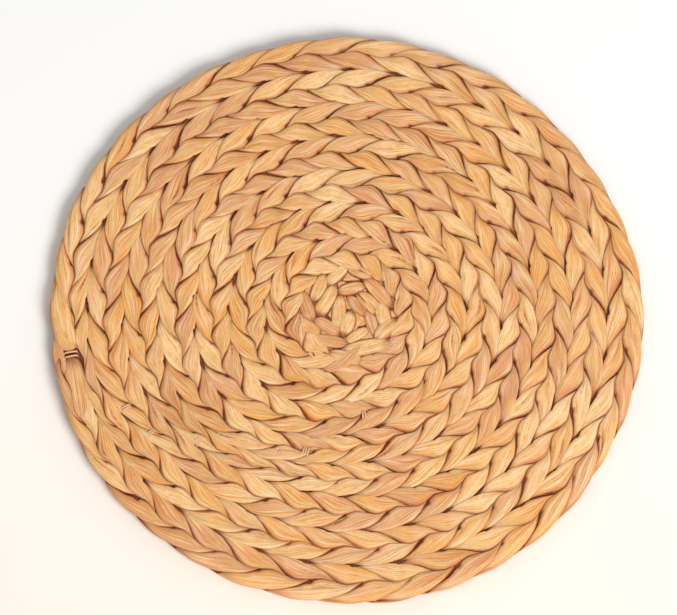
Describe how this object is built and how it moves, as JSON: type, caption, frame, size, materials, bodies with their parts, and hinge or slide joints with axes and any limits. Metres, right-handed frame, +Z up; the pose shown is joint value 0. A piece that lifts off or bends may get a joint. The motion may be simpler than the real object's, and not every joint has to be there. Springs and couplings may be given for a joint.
{
  "type": "round plaited charger mat",
  "caption": "Flat round charger mat of dried water hyacinth stalks, plaited in three strands and wound edge to edge from the middle.",
  "frame": {"origin": "middle of the underside, on the surface that the mat lies on", "axes": "+Z up out of the upper face; +X to the right and +Y away as the mat is seen from the front, with the plait's cut end near -X"},
  "size_m": [0.3294, 0.3318, 0.011],
  "materials": {
    "dried_stalk": "satin, dried plant stalk",
    "sewing_thread": "matt, thin twisted thread"
  },
  "bodies": {
    "root": {"coiled_plait": "dried_stalk"}
  },
  "joints": []
}
